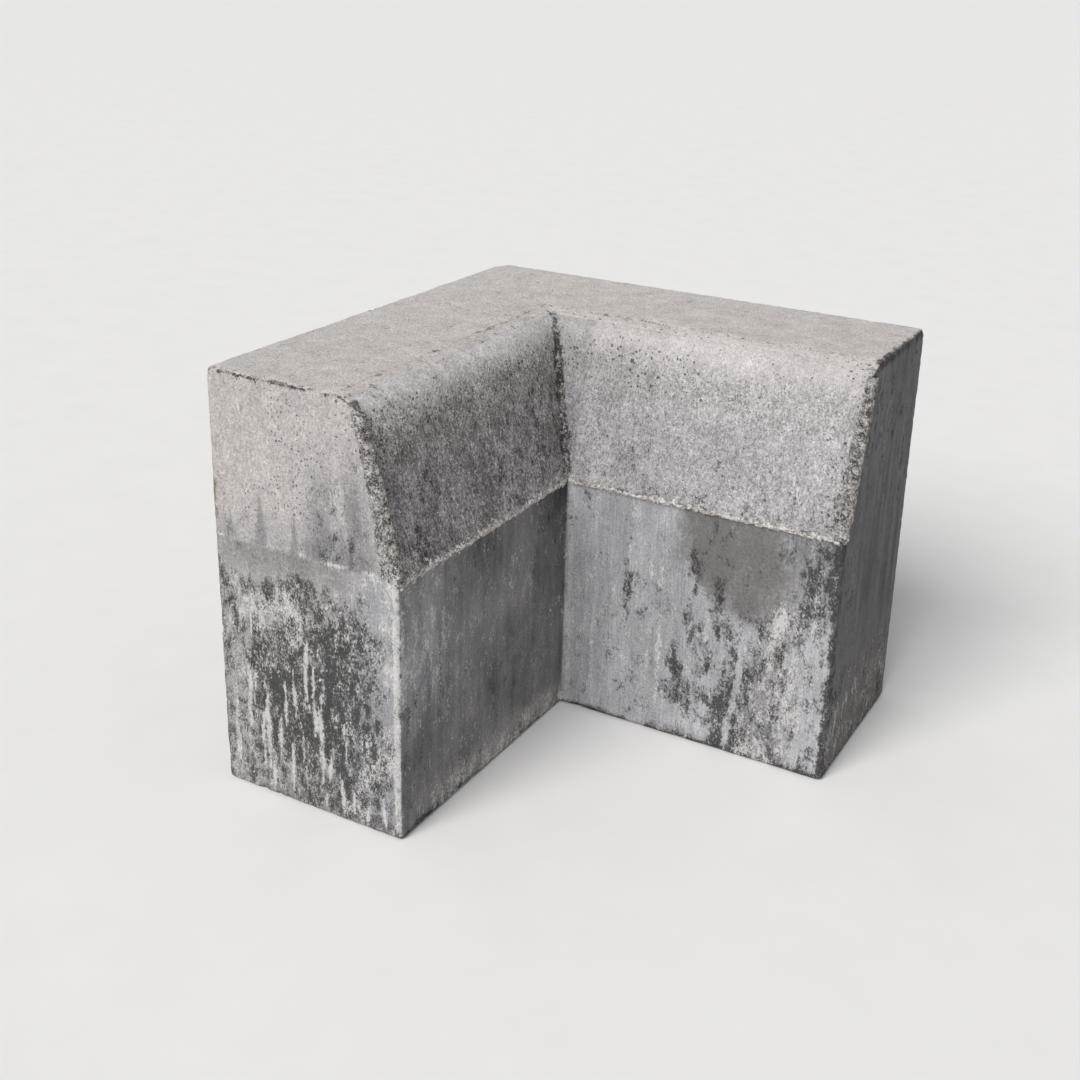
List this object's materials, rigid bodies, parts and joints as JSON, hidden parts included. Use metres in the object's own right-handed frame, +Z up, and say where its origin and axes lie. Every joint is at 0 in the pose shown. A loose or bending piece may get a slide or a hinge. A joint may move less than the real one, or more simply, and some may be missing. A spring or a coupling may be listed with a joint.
{
  "type": "precast concrete kerb corner",
  "caption": "L-shaped precast concrete kerb corner, 90 degree internal angle, with battered round-topped faces on the inside of the angle.",
  "frame": {"origin": "centre of the bounding box, on the ground that the base rests on", "axes": "+Z up; leg A runs from the back corner towards -Y and ends in face -Y; leg B runs towards +X and ends in face +X; the battered faces look into the angle between them, towards +X and -Y"},
  "size_m": [0.305, 0.305, 0.255],
  "materials": {
    "formed_concrete": "smooth mould face, weathered, streaked dark grey",
    "granular_concrete": "open sandy grain, light warm grey",
    "laitance": "ragged pale set paste",
    "bare_aggregate": "coarse, pitted, grains standing out"
  },
  "bodies": {
    "root": {"lower_block": "formed_concrete", "upper_block": "granular_concrete", "seam_ridge_leg_a": "laitance", "seam_ridge_leg_b": "laitance", "corner_ridge": "bare_aggregate", "end_ridge_leg_a": "bare_aggregate", "end_ridge_leg_b": "bare_aggregate"}
  },
  "joints": []
}
